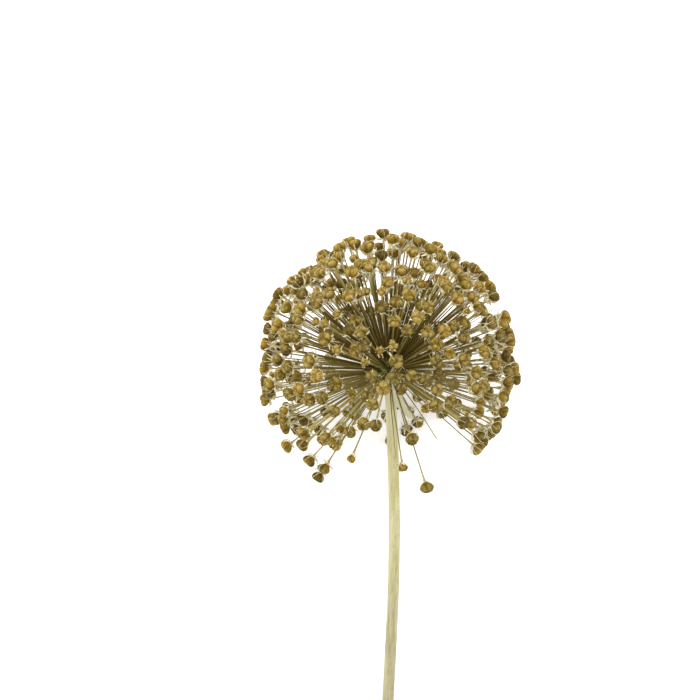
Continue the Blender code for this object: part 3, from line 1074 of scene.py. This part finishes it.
def build_clusters(shift, stalk, strand, husk):
    """One piece for each cluster: its rays, its capsules and their withered flowers."""
    shapes = bpy.data.collections.new("capsule_shapes")
    for number in range(CAPSULE_SHAPES + WITHERED_SHAPES):
        shape = capsule_shape(number, number >= CAPSULE_SHAPES)
        bpy.context.scene.collection.objects.unlink(shape)
        shapes.objects.link(shape)
    tree = growth_tree()
    inputs = {item.name: item.identifier for item in tree.interface.items_tree}
    settings = {
        "Capsule shapes": shapes, "Stalk sides": STALK_SIDES, "Strand sides": STRAND_SIDES,
        "Strand flatness": STRAND_FLATNESS, "Stalk finish": stalk, "Strand finish": strand,
        "Capsule finish": husk,
    }
    pieces = []
    for number, rays in enumerate(umbel(), 1):
        rng = random.Random(CLUSTER_SEED + number)
        skeleton = Skeleton()
        stout_share = LOW_STOUT_SHARE if 2 <= number <= len(LOW_CLUSTERS) else STOUT_SHARE
        for foot, inward, end, size in rays:
            add_stalk(skeleton, end, size, stout_share, rng)
            if size:
                add_capsule(skeleton, foot, inward, end, size, rng)
        piece = skeleton.made(f"flower_cluster_{number:02d}")
        grow = piece.modifiers.new("grow", "NODES")
        grow.node_group = tree
        for name, value in settings.items():
            grow[inputs[name]] = value
        pieces.append(piece)
    graph = bpy.context.evaluated_depsgraph_get()
    for number, piece in enumerate(pieces, 1):
        mesh = bpy.data.meshes.new_from_object(piece.evaluated_get(graph))
        piece.modifiers.clear()
        piece.data = mesh
        mesh.name = piece.name
        settle(mesh, shift)
        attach(piece, "root")
        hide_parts(f"ray_cluster_{number:02d}")
    for shape in list(shapes.objects):
        bpy.data.objects.remove(shape)
    bpy.data.collections.remove(shapes)


STEM_SIDES = 40
STEM_RINGS = 150
DOME_RINGS = 16
# Flutes, then wrinkles: how fine they are round the stem and along it, how deep as a share of
# its radius, and where in the noise they start.
STEM_RELIEF = ((2.6, 14.0, 0.022, 0.0), (7.0, 40.0, 0.010, 5.0))
# Rings of the cut face: share of the stem's radius, and how far the pith has sunk there.
CUT_RINGS = ((0.90, 0.0), (0.72, 0.00015), (0.45, 0.0004), (0.2, 0.0005))


def build_stem(shift, straw, pith):
    """The scape with its receptacle: fluted, fibrous, and cut square across its pith."""
    places, faces, fibre, along, rim = [], [], [], [], []
    outline = scape_outline(DOME_RINGS, STEM_RINGS)
    for down, radius in outline:
        centre, axis = scape_point(down), scape_axis(down)
        for k, point in enumerate(ring(centre, axis, ACROSS, (1.0,), STEM_SIDES)):
            way = point - centre
            turn = math.tau * k / STEM_SIDES
            around = Vector((math.cos(turn), math.sin(turn), 0.0))
            full = 1.0
            for fine, lengthwise, depth, begin in STEM_RELIEF:
                spot = around * fine + Vector((begin, 0.0, down * lengthwise))
                full += depth * noise.noise(spot)
            places.append(centre + way * (radius * full))
            fibre.append((*(around * radius)[:2], down))
            along.append(max(down, 0.0) / SCAPE_LENGTH)
            rim.append(1.0)
    crown = len(places)
    places.append(HUB + ALONG * RECEPTACLE_RADIUS)
    fibre.append((0.0, 0.0, 0.0))
    along.append(0.0)
    rim.append(1.0)
    rows = len(outline)
    for i in range(rows - 1):
        faces += band(i * STEM_SIDES, (i + 1) * STEM_SIDES, STEM_SIDES)
    for k in range(STEM_SIDES):
        faces.append(((k + 1) % STEM_SIDES, k, crown))
    sides = len(faces)
    edge = last = (rows - 1) * STEM_SIDES
    centre = scape_point(SCAPE_LENGTH)
    for share, sunk in CUT_RINGS:
        first = len(places)
        for k in range(edge, edge + STEM_SIDES):
            places.append(centre.lerp(places[k], share) + ALONG * sunk)
            fibre.append(fibre[k])
            along.append(1.0)
            rim.append(share)
        faces += band(last, first, STEM_SIDES)
        last = first
    faces.append(tuple(last + k for k in range(STEM_SIDES)))
    made = filled(
        "stem", places, faces, [straw, pith], {"along": along, "rim": rim}, {"fibre": fibre}
    )
    for face in made.data.polygons[sides:]:
        face.material_index = 1
    made.data.set_sharp_from_angle(angle=math.radians(60))
    settle(made.data, shift)
    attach(made, "root")
    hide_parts("scape")


PAPER_ROWS = 30
PAPER_COLUMNS = 14
PAPER_THICKNESS = 0.00010
# How far the tip is torn and the edges ragged, as shares, and how high the paper is crinkled
# and pleated.
PAPER_LENGTH = 0.95
TEAR = 0.10
RAGGED = 0.16
CRINKLE_HEIGHT = 0.0007
PLEAT_HEIGHT = 0.00009


def build_bract(number, shift, turn, length, width, flare, papery):
    """A torn, crinkled spathe bract, bent away from the stem below the head."""
    out = ACROSS * math.sin(turn) + AWAY * math.cos(turn)
    sideways = ALONG.cross(out)
    places, faces, fibre, rim = [], [], [], []
    for i in range(PAPER_ROWS + 1):
        for j in range(PAPER_COLUMNS + 1):
            across = 2.0 * j / PAPER_COLUMNS - 1.0
            tear = TEAR * noise.noise(Vector((across * 3.1, number * 9.0, 0.0)))
            part = i / PAPER_ROWS * (PAPER_LENGTH + tear)
            ragged = noise.noise(Vector((part * 9.0, math.copysign(4.0, across), number)))
            half = 0.5 * width * math.sin(math.pi * (0.16 + 0.80 * part)) ** 0.8
            half *= 1.0 + RAGGED * ragged * abs(across) * part
            middle = scape_point(BRACT_START + BRACT_DROP * length * part)
            middle += out * bract_out(length * part, flare * part)
            crinkle = noise.noise(Vector((across * 2.4, part * 5.0, number * 3.0)))
            pleat = math.sin(across * 14.0 + part * 2.0) * PLEAT_HEIGHT
            lift = crinkle * CRINKLE_HEIGHT * part + pleat - BRACT_CUP * half * across**2
            places.append(middle + sideways * (half * across) + out * lift)
            fibre.append((half * across, length * part, number * 0.1))
            rim.append(max(abs(across), i / PAPER_ROWS))
    wide = PAPER_COLUMNS + 1
    for i in range(PAPER_ROWS):
        for j in range(PAPER_COLUMNS):
            corner = i * wide + j
            faces.append((corner, corner + 1, corner + wide + 1, corner + wide))
    name = f"papery_bract_{number}"
    made = filled(name, places, faces, [papery], {"rim": rim}, {"fibre": fibre})
    settle(made.data, shift)
    thick = made.modifiers.new("thickness", "SOLIDIFY")
    thick.thickness = PAPER_THICKNESS
    thick.offset = 0.0
    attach(made, "root")
    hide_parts(f"spathe_bract_{number}")


# --- Surface, light and camera ---

FLOOR_DROP = 0.0001
FLOOR_HALF = 3.0
SURROUNDINGS = 0.55
LAMP_DISTANCE = 1.3
# Lamps: name, way from the hub (across, along, away), size and power.
LAMPS = (
    ("beyond", (-0.2, 1.0, 0.7), 1.0, 13.0),
    ("left", (-1.0, 0.2, 0.45), 1.0, 8.0),
    ("right", (1.0, 0.1, 0.45), 1.0, 8.0),
    ("above", (-0.2, -0.2, 1.0), 0.8, 4.0),
)
LENS = 123.4
SENSOR = 36.0
DISTANCE = 1.2
# Where the camera aims, from the hub: across, along, away.
AIM = Vector((-0.0195, 0.010, 0.0))


def build_floor():
    """A plain pale surface under the stem and the head."""
    look = Finish("pale_surface", 0.9, 0.1)
    look.colour((0.92, 0.92, 0.92))
    look.shader.inputs["Emission Color"].default_value = (1.0, 1.0, 1.0, 1.0)
    look.shader.inputs["Emission Strength"].default_value = 0.4
    corners = [
        (x * FLOOR_HALF, y * FLOOR_HALF, -FLOOR_DROP)
        for x, y in ((-1, -1), (1, -1), (1, 1), (-1, 1))
    ]
    filled("surface", corners, [(0, 1, 2, 3)], [look.material])


def build_light(hub):
    """Bright surroundings and four large, soft lamps round the head."""
    world = bpy.data.worlds.new("soft_surroundings")
    world.use_nodes = True
    world.node_tree.nodes["Background"].inputs["Color"].default_value = (1.0, 1.0, 1.0, 1.0)
    world.node_tree.nodes["Background"].inputs["Strength"].default_value = SURROUNDINGS
    bpy.context.scene.world = world
    for name, way, size, power in LAMPS:
        way = UMBEL @ Vector(way)
        lamp = bpy.data.lights.new(name, "AREA")
        lamp.size = size
        lamp.energy = power
        made = shown(name, lamp)
        made.location = hub + way.normalized() * LAMP_DISTANCE
        made.rotation_euler = way.to_track_quat("Z", "Y").to_euler()
        made.visible_camera = False


def build_camera(hub):
    """Looks down on the head, square to the stem where it meets the head."""
    lens = bpy.data.cameras.new("camera")
    lens.lens = LENS
    lens.sensor_width = SENSOR
    lens.clip_end = 20.0
    camera = shown("camera", lens)
    target = hub + UMBEL @ AIM
    camera.matrix_world = Matrix.Translation(target + AWAY * DISTANCE) @ UMBEL.to_4x4()
    bpy.context.scene.camera = camera


# --- Assembly ---

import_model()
CAD_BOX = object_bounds()
SHIFT = frame_shift()
build_clusters(SHIFT, ray_finish(), tepal_finish(), husk_finish())
build_stem(SHIFT, straw_finish(), pith_finish())
PAPERY = papery_finish()
for bract_number, bract in enumerate(BRACTS, 1):
    build_bract(bract_number, SHIFT, *bract, PAPERY)
build_floor()
build_light(HUB + SHIFT)
build_camera(HUB + SHIFT)
bpy.context.scene.view_settings.view_transform = "Standard"
